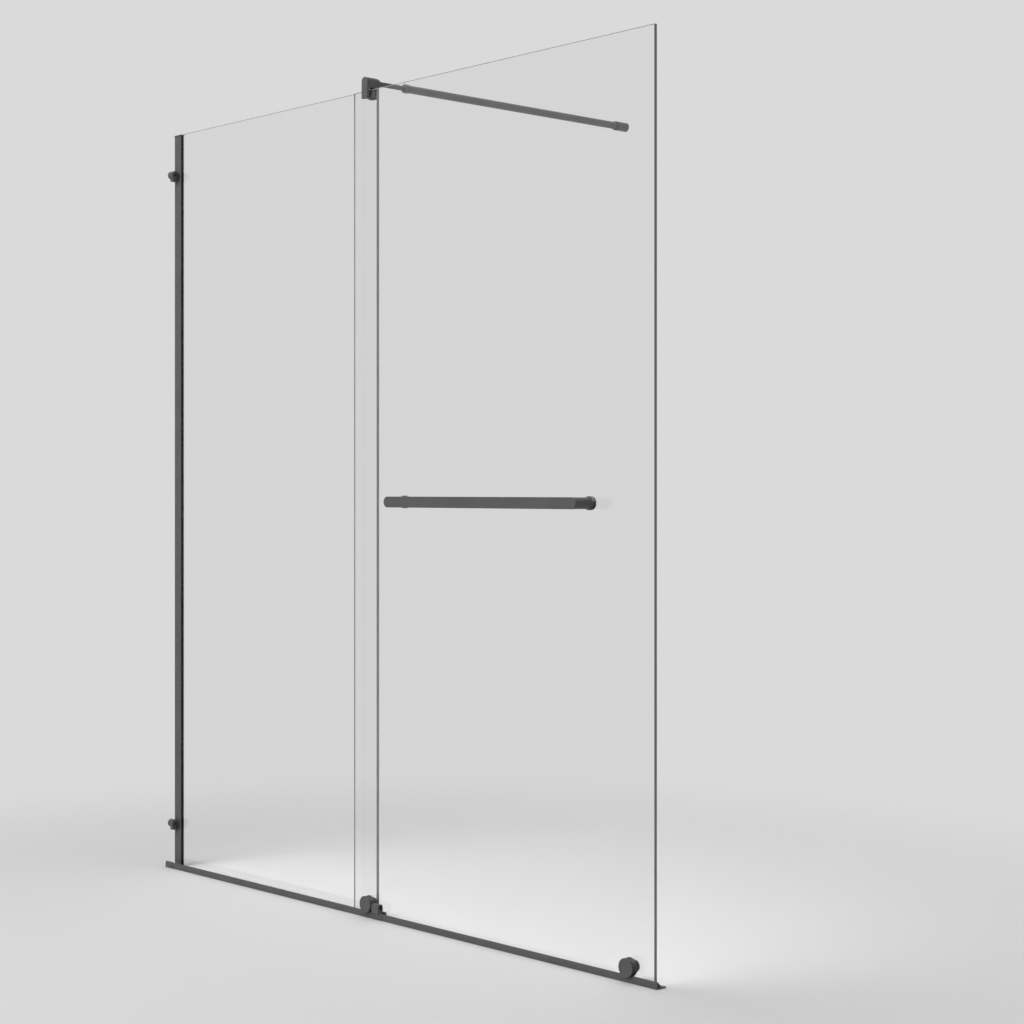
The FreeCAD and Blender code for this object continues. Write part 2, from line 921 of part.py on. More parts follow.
def wall_socket():
    """The cup on the back wall, with a screw hole in its base."""
    front = wall_distance - wall_socket_length
    inner = wall_distance - wall_socket_base
    cup = turned(
        [
            (wall_socket_hole_radius, wall_distance),
            (wall_socket_radius, wall_distance),
            (wall_socket_radius, front + wall_socket_edge),
            (wall_socket_radius - wall_socket_edge, front),
            (tube_radius, front),
            (tube_radius, inner),
            (wall_socket_hole_radius, inner),
        ],
        bracket_middle,
        bar_height,
    )
    return cup.cut(socket_screw(overrun))


def socket_screw(extra=0.0):
    """The set screw under the wall socket that holds the tube."""
    y = wall_distance - wall_socket_length + socket_screw_from_mouth
    return cylinder_z(
        socket_screw_radius,
        bar_height - wall_socket_radius + screw_recess - extra,
        bar_height - tube_radius + tube_wall,
        bracket_middle,
        y,
    )


def sliding_glass():
    """The door's pane, drilled for the rollers and the handle."""
    pane = glass_panel((door_left, door_right), (door_front, door_back), (door_bottom, door_top))
    for x in roller_places.values():
        pane = pane.cut(cylinder_y(
            roller_glass_hole_radius, door_front - overrun, door_back + overrun, x, roller_axis_height,
        ))
    for x in handle_posts_at:
        pane = pane.cut(cylinder_y(
            handle_glass_hole_radius, door_front - overrun, door_back + overrun, x, handle_height,
        ))
    return pane


def handle_bar():
    """The flat-faced bar with half-round ends and a bevelled front edge."""
    radius = handle_bar_height / 2
    left, right = handle_posts_at
    low = handle_height - radius
    high = handle_height + radius
    y = handle_face
    outline = face_of([
        line(Vector(left, y, high), Vector(right, y, high)),
        arc(Vector(right, y, high), Vector(right + radius, y, handle_height), Vector(right, y, low)),
        line(Vector(right, y, low), Vector(left, y, low)),
        arc(Vector(left, y, low), Vector(left - radius, y, handle_height), Vector(left, y, high)),
    ])
    bar = outline.extrude(Vector(0, handle_bar_thickness, 0))
    front_edges = [
        edge for edge in bar.Edges
        if all(abs(vertex.Y - handle_face) < fitting_clearance for vertex in edge.Vertexes)
    ]
    bar = bar.makeChamfer(handle_bar_edge, front_edges)
    for x in handle_posts_at:
        bar = bar.cut(cylinder_y(
            handle_spigot_radius,
            handle_bar_back - handle_spigot_length,
            handle_bar_back + overrun,
            x,
            handle_height,
        ))
    return bar


def rosette_front():
    """Y of the face where a post meets its rosette."""
    return door_front - gasket_thickness - handle_rosette_thickness


def handle_posts():
    """The two round posts, each with a spigot in the bar and a drilled end for its stud."""
    end = rosette_front()
    posts = []
    for x in handle_posts_at:
        posts.append(turned(
            [
                (0, handle_bar_back - handle_spigot_length),
                (handle_spigot_radius, handle_bar_back - handle_spigot_length),
                (handle_spigot_radius, handle_bar_back),
                (handle_post_radius, handle_bar_back),
                (handle_post_radius, end),
                (handle_stud_radius, end),
                (handle_stud_radius, end - handle_stud_into_post),
                (0, end - handle_stud_into_post),
            ],
            x,
            handle_height,
        ))
    return group(posts)


def handle_rosettes():
    """The rings between the posts and the glass."""
    front = rosette_front()
    back = front + handle_rosette_thickness
    return group([
        turned(
            [
                (handle_stud_radius, front),
                (handle_rosette_radius - handle_rosette_edge, front),
                (handle_rosette_radius, front + handle_rosette_edge),
                (handle_rosette_radius, back),
                (handle_stud_radius, back),
            ],
            x,
            handle_height,
        )
        for x in handle_posts_at
    ])


def washer(inner_radius, outer_radius, start, end, x, z):
    """A flat ring about an axis along Y."""
    return turned(
        [(inner_radius, start), (outer_radius, start), (outer_radius, end), (inner_radius, end)],
        x,
        z,
    )


def handle_gaskets():
    """The soft washers on both faces of the glass at each post."""
    return group([
        washer(handle_stud_radius, handle_gasket_radius, start, start + gasket_thickness, x, handle_height)
        for x in handle_posts_at
        for start in (door_front - gasket_thickness, door_back)
    ])


def handle_inner_caps():
    """The low round caps on the inside of the glass."""
    start = door_back + gasket_thickness
    end = start + handle_inner_cap_thickness
    return group([
        turned(
            [
                (0, start + handle_stud_into_cap),
                (handle_stud_radius, start + handle_stud_into_cap),
                (handle_stud_radius, start),
                (handle_inner_cap_radius, start),
                (handle_inner_cap_radius, end - handle_rosette_edge),
                (handle_inner_cap_radius - handle_rosette_edge, end),
                (0, end),
            ],
            x,
            handle_height,
        )
        for x in handle_posts_at
    ])


def handle_studs():
    """The threaded studs through the glass."""
    start = rosette_front() - handle_stud_into_post
    end = door_back + gasket_thickness + handle_stud_into_cap
    return group([
        cylinder_y(handle_stud_radius, start, end, x, handle_height)
        for x in handle_posts_at
    ])


def roller_wheel(x):
    """The grooved wheel, bored for its bearing with a lip behind it."""
    bearing_start = rail_apex - bearing_width / 2
    bearing_end = rail_apex + bearing_width / 2
    chamfered = wheel_flange_radius - wheel_edge_chamfer
    return turned(
        [
            (bearing_radius, wheel_front),
            (chamfered, wheel_front),
            (wheel_flange_radius, wheel_front + wheel_edge_chamfer),
            (wheel_flange_radius, rail_apex - groove_mouth_half_width),
            (wheel_running_radius, rail_apex - groove_floor_half_width),
            (wheel_running_radius, rail_apex + groove_floor_half_width),
            (wheel_flange_radius, rail_apex + groove_mouth_half_width),
            (wheel_flange_radius, wheel_rear - wheel_edge_chamfer),
            (chamfered, wheel_rear),
            (wheel_lip_radius, wheel_rear),
            (wheel_lip_radius, bearing_end),
            (bearing_radius, bearing_end),
            (bearing_radius, bearing_start),
        ],
        x,
        roller_axis_height,
    )


def bearing_ring(inner_radius, outer_radius, x):
    """One ring of the ball bearing."""
    start = rail_apex - bearing_width / 2
    return washer(inner_radius, outer_radius, start, start + bearing_width, x, roller_axis_height)


def roller_axle(x):
    """The stepped axle: a journal for the bearing, a shoulder through the glass and a threaded end."""
    journal_start = rail_apex - bearing_width / 2
    shoulder_start = rail_apex + bearing_width / 2
    shoulder_end = door_back + roller_gasket_thickness
    return turned(
        [
            (0, journal_start),
            (bearing_bore_radius, journal_start),
            (bearing_bore_radius, shoulder_start),
            (axle_shoulder_radius, shoulder_start),
            (axle_shoulder_radius, shoulder_end),
            (bearing_bore_radius, shoulder_end),
            (bearing_bore_radius, shoulder_end + axle_thread_depth),
            (0, shoulder_end + axle_thread_depth),
        ],
        x,
        roller_axis_height,
    )


def roller_front_cap(x):
    """The plain disc in front of the wheel, with a boss against the axle's end."""
    back = wheel_front - roller_cap_gap
    front = back - roller_cap_thickness
    boss_end = rail_apex - bearing_width / 2
    return turned(
        [
            (0, front),
            (roller_cap_radius - roller_cap_edge, front),
            (roller_cap_radius, front + roller_cap_edge),
            (roller_cap_radius, back),
            (bearing_inner_radius, back),
            (bearing_inner_radius, boss_end),
            (0, boss_end),
        ],
        x,
        roller_axis_height,
    )


def roller_rear_cap(x):
    """The stepped nut cap on the inside of the glass."""
    start = door_back + roller_gasket_thickness
    step = start + roller_rear_washer_thickness
    end = start + roller_rear_cap_thickness
    return turned(
        [
            (0, start + axle_thread_depth),
            (bearing_bore_radius, start + axle_thread_depth),
            (bearing_bore_radius, start),
            (roller_rear_washer_radius, start),
            (roller_rear_washer_radius, step),
            (roller_rear_cap_radius, step),
            (roller_rear_cap_radius, end - roller_cap_edge),
            (roller_rear_cap_radius - roller_cap_edge, end),
            (0, end),
        ],
        x,
        roller_axis_height,
    )


def roller_gaskets(x):
    """The soft washers on both faces of the glass at a roller."""
    bore = axle_shoulder_radius + axle_gasket_clearance
    front = door_front - roller_gasket_thickness
    back = door_back + roller_gasket_thickness
    return group([
        washer(bore, roller_gasket_radius, front, door_front, x, roller_axis_height),
        washer(bore, roller_rear_gasket_radius, door_back, back, x, roller_axis_height),
    ])


def all_nodes():
    """Every sub-part under its name."""
    nodes = {
        "wall_profile": wall_profile(),
        "wall_profile_cap": wall_profile_cap(),
        "glass_wedge_seals": glass_wedge_seals(),
        "fixed_glass": fixed_glass(),
        "fixed_glass_sill_seal": fixed_glass_sill_seal(),
        "floor_track": floor_track(),
        "track_wall_cap": track_wall_cap(),
        "track_end_plug": track_end_plug(),
        "guide_block": guide_block(),
        "guide_bumpers": guide_bumpers(),
        "guide_glass_pad": guide_glass_pad(),
        "guide_block_screws": guide_block_screws(),
        "stop_screws": stop_screws(),
        "bar_bracket": bar_bracket(),
        "bracket_screws": bracket_screws(),
        "bracket_glass_pads": bracket_glass_pads(),
        "bracket_front_shoe": bracket_front_shoe(),
        "bracket_rear_shoe": bracket_rear_shoe(),
        "support_rod": support_rod(),
        "support_tube": support_tube(),
        "tube_collar": tube_collar(),
        "tube_bush": tube_bush(),
        "collar_set_screw": collar_screw(),
        "wall_socket": wall_socket(),
        "socket_set_screw": socket_screw(),
        "sliding_glass": sliding_glass(),
        "handle_bar": handle_bar(),
        "handle_posts": handle_posts(),
        "handle_rosettes": handle_rosettes(),
        "handle_gaskets": handle_gaskets(),
        "handle_inner_caps": handle_inner_caps(),
        "handle_studs": handle_studs(),
    }
    for name, height in stop_heights.items():
        nodes[name + "_body"] = stop_body(height)
        nodes[name + "_buffer"] = stop_buffer(height)
    for side, x in roller_places.items():
        inner = bearing_inner_radius
        outer_bore = inner + bearing_running_clearance
        nodes["roller_axle_" + side] = roller_axle(x)
        nodes["roller_front_cap_" + side] = roller_front_cap(x)
        nodes["roller_rear_cap_" + side] = roller_rear_cap(x)
        nodes["roller_gaskets_" + side] = roller_gaskets(x)
        nodes["bearing_inner_ring_" + side] = bearing_ring(bearing_bore_radius, inner, x)
        nodes["bearing_outer_ring_" + side] = bearing_ring(outer_bore, bearing_radius, x)
        nodes["roller_wheel_" + side] = roller_wheel(x)
    return nodes


def write_parts():
    """Write one STEP file for each sub-part."""
    os.makedirs("parts", exist_ok=True)
    for name, shape in all_nodes().items():
        shape.exportStep("parts/" + name + ".step")
        size = shape.BoundBox
        print(name, len(shape.Solids), "solid(s)", shape.isValid(), round(shape.Volume, 1))
        print("   ", [round(value, 2) for value in (size.XMin, size.XMax)],
              [round(value, 2) for value in (size.YMin, size.YMax)],
              [round(value, 2) for value in (size.ZMin, size.ZMax)])
    print("door travel", round(door_travel, 2))
    print("track length", round(track_length, 2))


write_parts()
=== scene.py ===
"""Looks for the sliding shower screen: materials, small fasteners, light, floor and camera.

Everything is in metres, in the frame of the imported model.
"""

import json
import math

import bmesh
import bpy
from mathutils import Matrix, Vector

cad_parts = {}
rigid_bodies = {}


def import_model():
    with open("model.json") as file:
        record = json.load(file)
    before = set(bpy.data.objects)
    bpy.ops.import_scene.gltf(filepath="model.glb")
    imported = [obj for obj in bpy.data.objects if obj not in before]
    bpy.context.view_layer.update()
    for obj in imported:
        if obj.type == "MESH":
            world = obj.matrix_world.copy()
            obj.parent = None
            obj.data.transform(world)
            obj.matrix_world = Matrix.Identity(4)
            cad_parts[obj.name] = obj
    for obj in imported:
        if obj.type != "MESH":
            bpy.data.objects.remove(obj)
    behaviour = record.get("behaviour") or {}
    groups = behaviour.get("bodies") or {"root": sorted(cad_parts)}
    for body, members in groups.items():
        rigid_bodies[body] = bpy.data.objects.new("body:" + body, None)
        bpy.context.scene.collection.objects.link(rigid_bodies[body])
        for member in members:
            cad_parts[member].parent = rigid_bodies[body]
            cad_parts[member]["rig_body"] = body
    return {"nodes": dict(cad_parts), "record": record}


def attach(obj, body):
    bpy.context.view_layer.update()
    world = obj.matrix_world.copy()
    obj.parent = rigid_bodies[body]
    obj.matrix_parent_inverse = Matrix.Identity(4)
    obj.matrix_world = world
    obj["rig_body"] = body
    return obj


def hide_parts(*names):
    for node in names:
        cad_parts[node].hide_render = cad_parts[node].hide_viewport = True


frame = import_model()

# Camera, fitted to the photograph
photo_width = 1024
focal_pixels = 2004.67
horizon_pixel = 489.67
sensor_width = 36.0
camera_place = (4.6659, -3.0526, 1.0299)
camera_turn = math.radians(47.319)

# Floor
floor_radius = 14.0
floor_sides = 128
floor_middle = (0.9, 0.0)
floor_drop = 0.0004
floor_colour = (0.755, 0.755, 0.757)
floor_fade_start = 0.9
floor_fade_end = 2.5

# Light
world_light = 0.36
background_level = 0.70
background_colour = (1.0, 1.0, 1.0, 1.0)
light_target = (0.9, 0.0, 0.9)
lamps = {
    "key": {"place": (0.4, -4.8, 4.6), "power": 205.0, "size": 3.0},
    "top": {"place": (0.9, 0.2, 4.6), "power": 25.0, "size": 3.2},
    "back": {"place": (-1.2, 4.2, 2.6), "power": 24.0, "size": 2.4},
}

# Colours, linear
graphite = (0.094, 0.094, 0.096)
# Painted light: the tube and collar get a lighter copy of the graphite.
tube_painted_light_grey = (0.112, 0.112, 0.114)
# Painted light: the rear shoe gets a lighter copy of the graphite, for a block that lies in the
# bracket's shade.
shoe_painted_light_grey = (0.19, 0.19, 0.192)
glass_tint = (0.952, 0.951, 0.951)
glass_shadow_tint = (0.938, 0.942, 0.940)
free_edge_colour = (0.185, 0.198, 0.196)
# Painted light: the far glass edges get a lighter copy of the edge colour, for the light that reaches
# them through the glass.
far_edge_painted_light_colour = (0.56, 0.575, 0.572)
seal_tint = (0.88, 0.90, 0.90)
rubber_colour = (0.012, 0.012, 0.0125)
nylon_colour = (0.022, 0.022, 0.023)
wheel_colour = (0.056, 0.056, 0.058)
steel_colour = (0.56, 0.56, 0.57)

# Looks: the shader's plain values, and layers of texture with a scale per metre.
# A layer varies the shade between two shares of the colour, the roughness between
# two limits, or the relief by a height in metres.
blend_places = (0.35, 0.65)
no_stretch = (1.0, 1.0, 1.0)

# Pale matt floor
floor_look = {
    "values": {"Base Color": (*floor_colour, 1.0), "Roughness": 0.7, "Specular IOR Level": 0.2},
    "layers": (),
}

# Satin coating with the fine grain of powder paint
coating_look = {
    "values": {"Specular IOR Level": 0.32},
    "layers": (
        {"scale": 22.0, "detail": 4.0, "shades": (0.94, 1.06)},
        {"scale": 60.0, "detail": 6.0, "roughness": (0.40, 0.52)},
        {"scale": 1700.0, "detail": 3.0, "height": 0.00006, "strength": 0.35},
    ),
}

# Clear toughened glass with a faint film
glass_look = {
    "values": {"Base Color": (*glass_tint, 1.0), "Transmission Weight": 1.0, "IOR": 1.5},
    "layers": ({"scale": 3.0, "detail": 3.0, "roughness": (0.0, 0.012)},),
}

# Matt ground edge of the glass, with streaks along it
ground_edge_look = {
    "values": {"Specular IOR Level": 0.5},
    "layers": (
        {
            "scale": 90.0, "stretch": (1.0, 6.0, 0.25), "detail": 5.0, "shades": (0.93, 1.07),
            "roughness": (0.30, 0.50), "height": 0.00004, "strength": 0.3,
        },
    ),
}

# Slightly cloudy clear plastic of the seals and washers
clear_plastic_look = {
    "values": {"Base Color": (*seal_tint, 1.0), "Transmission Weight": 0.85, "IOR": 1.46},
    "layers": (
        {"scale": 120.0, "detail": 4.0, "roughness": (0.18, 0.38), "height": 0.00008, "strength": 0.25},
    ),
}

# Matt black rubber with a faint bloom
rubber_look = {
    "values": {},
    "layers": (
        {"scale": 180.0, "detail": 5.0, "shades": (1.0, 1.7), "roughness": (0.62, 0.8)},
        {"scale": 2600.0, "height": 0.00008, "strength": 0.4},
    ),
}

# Nylon with a spark-eroded mould texture, glossier on the wheels
mould_texture = {
    "texture": "ShaderNodeTexVoronoi", "value": "Distance", "scale": 1900.0, "height": 0.00004,
    "strength": 0.35,
}
nylon_look = {
    "values": {},
    "layers": ({"scale": 70.0, "shades": (0.85, 1.2), "roughness": (0.38, 0.50)}, mould_texture),
}
wheel_look = {
    "values": {},
    "layers": ({"scale": 70.0, "shades": (0.85, 1.2), "roughness": (0.24, 0.36)}, mould_texture),
}

# Stainless steel with fine turning marks
steel_look = {
    "values": {"Metallic": 1.0},
    "layers": (
        {
            "scale": 700.0, "stretch": (0.2, 3.0, 0.2), "detail": 4.0, "shades": (0.9, 1.06),
            "roughness": (0.22, 0.36), "height": 0.00003, "strength": 0.4,
        },
    ),
}

# Turned pieces, as radii and shares of each CAD piece's depth
turned_sides = 96
rosette_outline = (
    (0.0000, 0.00), (0.0119, 0.00), (0.0122, 0.02), (0.0125, 0.05), (0.0125, 0.80), (0.0126, 0.83),
    (0.0129, 0.85), (0.0143, 0.86), (0.0148, 0.875), (0.0150, 0.90), (0.0150, 0.98), (0.0149, 1.00),
    (0.0000, 1.00),
)
inner_cap_outline = (
    (0.0000, 0.00), (0.0149, 0.00), (0.0150, 0.02), (0.0150, 0.32), (0.0148, 0.38), (0.0143, 0.42),
    (0.0068, 0.46), (0.0062, 0.48), (0.0060, 0.52), (0.0060, 0.92), (0.0058, 0.97), (0.0054, 1.00),
    (0.0000, 1.00),
)
wheel_outline = (
    (0.0080, 0.000), (0.0199, 0.000), (0.0203, 0.012), (0.0204, 0.030), (0.0204, 0.050), (0.0201, 0.062),
    (0.0190, 0.075), (0.0176, 0.092), (0.0166, 0.122), (0.0160, 0.170), (0.0157, 0.225), (0.0155, 0.310),
    (0.0155, 0.600), (0.0158, 0.660), (0.0164, 0.720), (0.0174, 0.765), (0.0188, 0.800), (0.0199, 0.830),
    (0.0204, 0.858), (0.0204, 0.965), (0.0203, 0.985), (0.0199, 1.000), (0.0070, 1.000), (0.0070, 0.618),
    (0.0080, 0.618),
)
mouth_ring_depth = 0.0022
mouth_ring_outline = (
    (0.0095, 0.30), (0.0098, 0.08), (0.0103, 0.00), (0.0112, 0.00), (0.0117, 0.10), (0.0119, 0.30),
    (0.0119, 1.00), (0.0095, 1.00),
)

# Small fasteners, with the sides that their heads face
screw_sides = 48
screw_edge_share = 0.12
hexagon_share = 0.56
hexagon_depth_share = 0.9
hexagon_floor_share = 0.25
countersink_radius = 0.0015
countersink_height = 0.0014
screw_heads = {
    "stop_screws": {"y": -1},
    "bracket_screws": {"y": 1, "x": -1},
    "collar_set_screw": {"z": -1},
    "socket_set_screw": {"z": -1},
    "guide_block_screws": {"z": 1},
}
countersunk_screws = ("guide_block_screws",)

# Mesh work
weld_distance = 0.000001
smooth_angle = math.radians(35)
flat_angle = math.radians(1)
pane_face_normal = 0.9
shoe_edge = 0.0006
shoe_edge_segments = 3
shoe_edge_profile = 0.5

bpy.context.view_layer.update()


def find_node(tree, kind):
    """The first node of a kind in a node tree."""
    return next(node for node in tree.nodes if node.type == kind)


def spread(tree, grey, low, high, socket):
    """Spread a grey value between two limits on a socket."""
    limits = tree.nodes.new("ShaderNodeMapRange")
    limits.inputs["To Min"].default_value = low
    limits.inputs["To Max"].default_value = high
    tree.links.new(grey, limits.inputs["Value"])
    tree.links.new(limits.outputs["Result"], socket)


def combine(tree, operation, first, second):
    """What a math node makes of two grey values."""
    result = tree.nodes.new("ShaderNodeMath")
    result.operation = operation
    tree.links.new(first, result.inputs[0])
    tree.links.new(second, result.inputs[1])
    return result.outputs["Value"]


def mix_shaders(tree, amount, first, second):
    """Send a blend of two shaders to the material's output."""
    mix = tree.nodes.new("ShaderNodeMixShader")
    tree.links.new(amount, mix.inputs["Fac"])
    tree.links.new(first, mix.inputs[1])
    tree.links.new(second, mix.inputs[2])
    tree.links.new(mix.outputs["Shader"], find_node(tree, "OUTPUT_MATERIAL").inputs["Surface"])


def seen_directly(tree):
    """One for rays that show the background: from the camera, in reflections and through glass."""
    path = tree.nodes.new("ShaderNodeLightPath")
    shown = path.outputs["Is Camera Ray"]
    for name in ("Is Glossy Ray", "Is Transmission Ray"):
        shown = combine(tree, "MAXIMUM", shown, path.outputs[name])
    return shown


def add_layer(tree, shader, layer, colour):
    """A texture fixed to the object, for the shade, the roughness or the relief of a shader."""
    nodes = tree.nodes
    links = tree.links
    where = nodes.new("ShaderNodeTexCoord")
    mapping = nodes.new("ShaderNodeMapping")
    mapping.inputs["Scale"].default_value = layer.get("stretch", no_stretch)
    texture = nodes.new(layer.get("texture", "ShaderNodeTexNoise"))
    texture.inputs["Scale"].default_value = layer["scale"]
    if "detail" in layer:
        texture.inputs["Detail"].default_value = layer["detail"]
    links.new(where.outputs["Object"], mapping.inputs["Vector"])
    links.new(mapping.outputs["Vector"], texture.inputs["Vector"])
    grey = texture.outputs[layer.get("value", "Fac")]
    if "shades" in layer:
        ramp = nodes.new("ShaderNodeValToRGB")
        for element, place, factor in zip(ramp.color_ramp.elements, blend_places, layer["shades"]):
            element.position = place
            element.color = (*(channel * factor for channel in colour), 1.0)
        links.new(grey, ramp.inputs["Fac"])
        links.new(ramp.outputs["Color"], shader.inputs["Base Color"])
    if "roughness" in layer:
        spread(tree, grey, *layer["roughness"], shader.inputs["Roughness"])
    if "height" in layer:
        bump = nodes.new("ShaderNodeBump")
        bump.inputs["Distance"].default_value = layer["height"]
        bump.inputs["Strength"].default_value = layer["strength"]
        links.new(grey, bump.inputs["Height"])
        links.new(bump.outputs["Normal"], shader.inputs["Normal"])


def make_finish(name, look, colour=None):
    """A material with a look's plain values and texture layers."""
    finish = bpy.data.materials.new(name)
    finish.use_nodes = True
    shader = find_node(finish.node_tree, "BSDF_PRINCIPLED")
    for socket, value in look["values"].items():
        shader.inputs[socket].default_value = value
    for layer in look["layers"]:
        add_layer(finish.node_tree, shader, layer, colour)
    return finish


def pane_glass():
    """Clear toughened glass that lets the lamps' light through."""
    finish = make_finish("pane_glass", glass_look)
    tree = finish.node_tree
    path = tree.nodes.new("ShaderNodeLightPath")
    clear = tree.nodes.new("ShaderNodeBsdfTransparent")
    clear.inputs["Color"].default_value = (*glass_shadow_tint, 1.0)
    glass = find_node(tree, "BSDF_PRINCIPLED")
    mix_shaders(tree, path.outputs["Is Shadow Ray"], glass.outputs["BSDF"], clear.outputs["BSDF"])
    return finish


def studio_floor():
    """A pale floor that fades into the background far from the object."""
    finish = make_finish("studio_floor", floor_look)
    tree = finish.node_tree
    where = tree.nodes.new("ShaderNodeTexCoord")
    distance = tree.nodes.new("ShaderNodeVectorMath")
    distance.operation = "LENGTH"
    tree.links.new(where.outputs["Object"], distance.inputs[0])
    fade = tree.nodes.new("ShaderNodeMapRange")
    fade.interpolation_type = "SMOOTHSTEP"
    fade.inputs["From Min"].default_value = floor_fade_start
    fade.inputs["From Max"].default_value = floor_fade_end
    tree.links.new(distance.outputs["Value"], fade.inputs["Value"])
    amount = combine(tree, "MULTIPLY", fade.outputs["Result"], seen_directly(tree))
    background = tree.nodes.new("ShaderNodeEmission")
    background.inputs["Strength"].default_value = background_level
    floor = find_node(tree, "BSDF_PRINCIPLED")
    mix_shaders(tree, amount, floor.outputs["BSDF"], background.outputs["Emission"])
    return finish


finishes = {
    "graphite_metal": make_finish("graphite_coating", coating_look, graphite),
    "clear_glass": pane_glass(),
    "clear_seal": make_finish("clear_plastic", clear_plastic_look),
    "black_rubber": make_finish("soft_rubber", rubber_look, rubber_colour),
    "black_nylon": make_finish("moulded_nylon", nylon_look, nylon_colour),
    "bright_steel": make_finish("turned_steel", steel_look, steel_colour),
}
wheel_finish = make_finish("running_wheel_nylon", wheel_look, wheel_colour)
# Painted light: a lighter copy of the graphite coating for the rear shoe, which lies in the bracket's
# shade.
shoe_painted_light_finish = make_finish("shoe_coating_painted_light", coating_look, shoe_painted_light_grey)
# Painted light: a lighter copy of the graphite coating for the tube and collar.
tube_painted_light_finish = make_finish("tube_coating_painted_light", coating_look, tube_painted_light_grey)
node_finishes = {"support_tube": tube_painted_light_finish, "tube_collar": tube_painted_light_finish}
pane_finishes = (
    finishes["clear_glass"],
    make_finish("ground_glass_edge", ground_edge_look, free_edge_colour),
    make_finish("far_glass_edge_painted_light", ground_edge_look, far_edge_painted_light_colour),
)
clear_face, free_edge, far_edge = range(len(pane_finishes))


def dress_nodes():
    """Give each CAD node its own finish or that of its slot."""
    for subpart in frame["record"]["subparts"]:
        node = frame["nodes"][subpart["node"]]
        finish = node_finishes.get(subpart["node"], finishes[subpart["material_slot"]])
        for place in node.material_slots:
            place.material = finish


def body_of(node):
    """The body that a node rides on."""
    return frame["nodes"][node]["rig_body"]


def add_piece(name, mesh, finish_slot, body, *replaced):
    """Put a mesh in the scene as a piece that rides on a body."""
    piece = bpy.data.objects.new(name, mesh)
    bpy.context.scene.collection.objects.link(piece)
    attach(piece, body)
    if replaced:
        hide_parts(*replaced)


def make_mesh(name, shape, finish):
    """Turn a shape into a mesh with one finish, and free the shape."""
    mesh = bpy.data.meshes.new(name)
    shape.to_mesh(mesh)
    shape.free()
    mesh.materials.append(finish)
    return mesh


def dress_pane(node):
    """Stand in for a pane with the same shape, with clear faces and ground edges.

    The edge that looks away from the side wall is darker than the others. The others have a lighter copy
    of its colour, painted light for the light that reaches them through the glass.
    """
    mesh = frame["nodes"][node].data.copy()
    mesh.materials.clear()
    for finish in pane_finishes:
        mesh.materials.append(finish)
    for face in mesh.polygons:
        if abs(face.normal.y) > pane_face_normal:
            face.material_index = clear_face
        elif face.normal.x > 0:
            face.material_index = free_edge
        else:
            face.material_index = far_edge
    add_piece(node + "_pane", mesh, "clear_glass", body_of(node), node)


def islands(mesh):
    """The corners of each separate solid in a mesh, always in the mesh's own order."""
    shape = bmesh.new()
    shape.from_mesh(mesh)
    bmesh.ops.remove_doubles(shape, verts=shape.verts, dist=weld_distance)
    left = set(shape.verts)
    found = []
    for start in shape.verts:
        if start not in left:
            continue
        left.remove(start)
        reached = [start]
        corners = []
        while reached:
            corner = reached.pop()
            corners.append(corner.co.copy())
            for edge in corner.link_edges:
                other = edge.other_vert(corner)
                if other in left:
                    left.remove(other)
                    reached.append(other)
        found.append(corners)
    shape.free()
    return found


def box_of(corners):
    """The lowest and highest corner of a set of points."""
    low = Vector(min(corner[axis] for corner in corners) for axis in range(3))
    high = Vector(max(corner[axis] for corner in corners) for axis in range(3))
    return low, high


def circle_points(radius, sides):
    """Points round a circle."""
    turns = [2 * math.pi * number / sides for number in range(sides)]
    return [(radius * math.cos(turn), radius * math.sin(turn)) for turn in turns]


def hexagon_points(radius):
    """Points round a hexagon, at the same angles as those of a circle."""
    sixth = math.pi / 3
    points = []
    for x, y in circle_points(1.0, screw_sides):
        turn = math.atan2(y, x) % sixth - sixth / 2
        reach = radius * math.cos(sixth / 2) / math.cos(turn)
        points.append((x * reach, y * reach))
    return points


def join_rings(shape, rings):
    """Faces from ring to ring of corners, where a ring may be a single corner."""
    sides = max(len(ring) for ring in rings)
    for first, second in zip(rings, rings[1:]):
        for number in range(sides):
            after = (number + 1) % sides
            if len(first) == 1:
                shape.faces.new((first[0], second[number], second[after]))
            elif len(second) == 1:
                shape.faces.new((first[number], first[after], second[0]))
            else:
                shape.faces.new((first[number], first[after], second[after], second[number]))


def turned_mesh(name, places, outline, finish):
    """Turned pieces round axes along Y, one in each box, from the box's front to its back.

    An outline that starts away from the axis is closed on itself, and leaves a bore.
    """
    shape = bmesh.new()
    for low, high in places:
        middle = (low + high) / 2
        rings = []
        for radius, share in outline:
            depth = low.y + (high.y - low.y) * share
            points = circle_points(radius, turned_sides) if radius else [(0.0, 0.0)]
            rings.append([shape.verts.new((middle.x + x, depth, middle.z + z)) for x, z in points])
        if outline[0][0] > 0:
            rings.append(rings[0])
        join_rings(shape, rings)
    bmesh.ops.recalc_face_normals(shape, faces=shape.faces)
    mesh = make_mesh(name, shape, finish)
    for face in mesh.polygons:
        face.use_smooth = True
    mesh.set_sharp_from_angle(angle=smooth_angle)
    return mesh


def add_turned_pieces():
    """Handle seats with a thin flange, stepped inner caps, and wheels with a round groove."""
    coating = finishes["graphite_metal"]
    for node, outline, finish_slot, finish in (
        ("handle_rosettes", rosette_outline, "graphite_metal", coating),
        ("handle_inner_caps", inner_cap_outline, "graphite_metal", coating),
        ("roller_wheel_left", wheel_outline, "black_nylon", wheel_finish),
        ("roller_wheel_right", wheel_outline, "black_nylon", wheel_finish),
    ):
        places = [box_of(corners) for corners in islands(frame["nodes"][node].data)]
        mesh = turned_mesh(node + "_turned", places, outline, finish)
        add_piece(node + "_turned", mesh, finish_slot, body_of(node), node)


